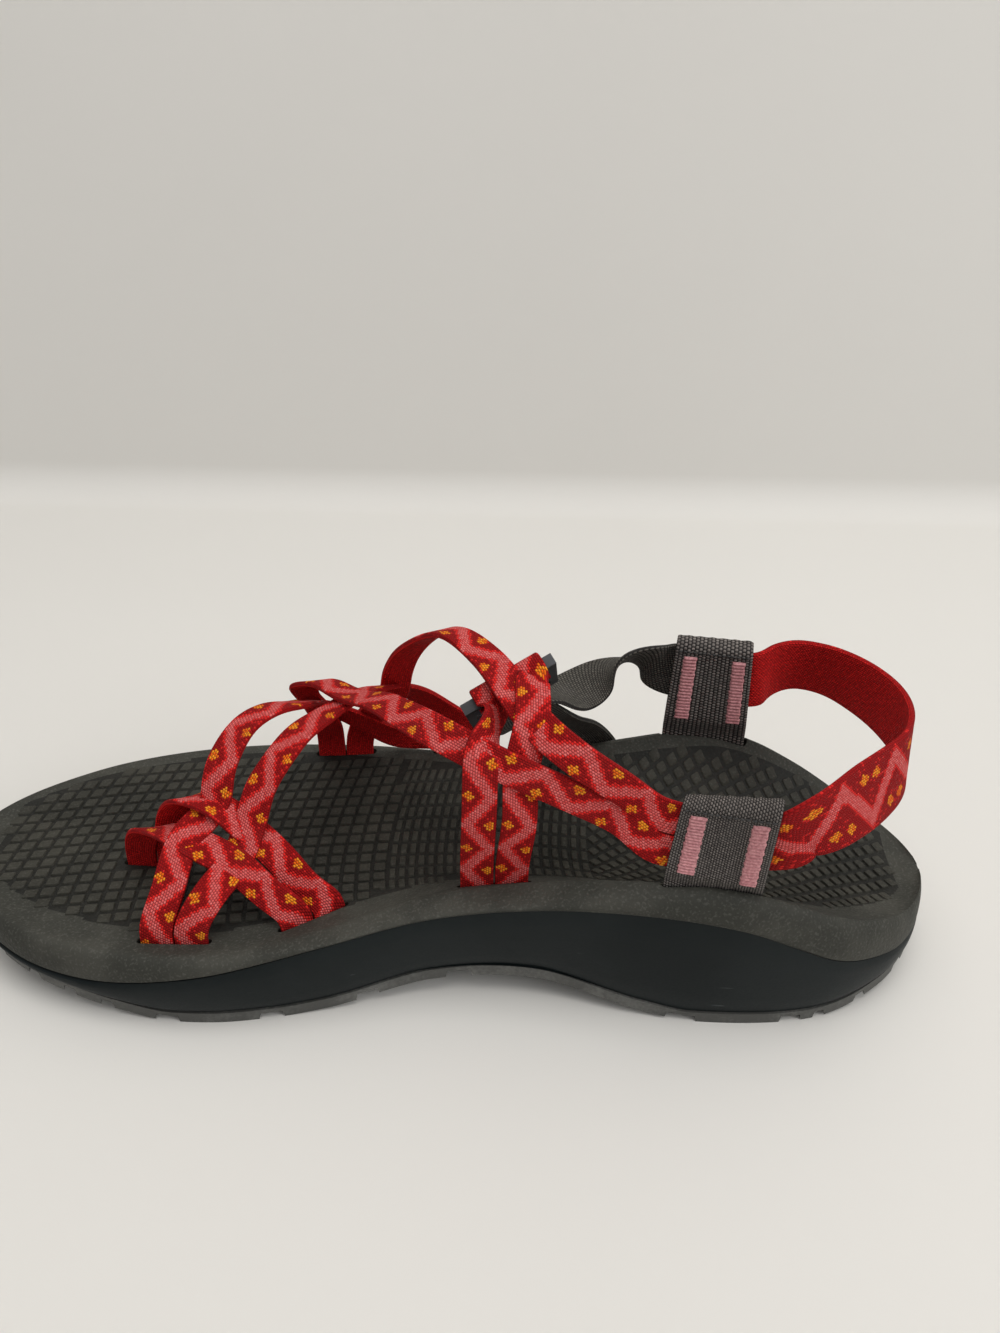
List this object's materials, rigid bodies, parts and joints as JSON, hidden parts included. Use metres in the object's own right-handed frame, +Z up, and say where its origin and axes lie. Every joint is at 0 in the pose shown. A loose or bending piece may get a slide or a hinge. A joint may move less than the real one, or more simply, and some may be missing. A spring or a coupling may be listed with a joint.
{
  "type": "sport sandal",
  "caption": "Open sport sandal with a contoured lugged sole, crossing woven straps, a toe loop, a heel strap on two riser loops and a ladder buckle; right foot.",
  "frame": {"origin": "middle of the sandal's bounding box in plan, on the floor it stands on", "axes": "+X from heel to toe, +Y to the medial (big toe) side, +Z up"},
  "size_m": [0.2718, 0.0978, 0.0901],
  "materials": {
    "outsole": "matt grey rubber",
    "midsole": "smooth dark polyurethane foam",
    "footbed": "textured dark olive polyurethane",
    "upper": "woven polyester strap, patterned red",
    "riser_medial": "grey webbing",
    "riser_lateral": "grey webbing",
    "adjuster_strap": "grey webbing",
    "buckle": "dark grey acetal"
  },
  "bodies": {
    "root": {"outsole": "outsole", "midsole": "midsole", "footbed": "footbed", "upper": "upper", "riser_medial": "riser_medial", "riser_lateral": "riser_lateral", "adjuster_strap": "adjuster_strap", "buckle": "buckle"}
  },
  "joints": []
}
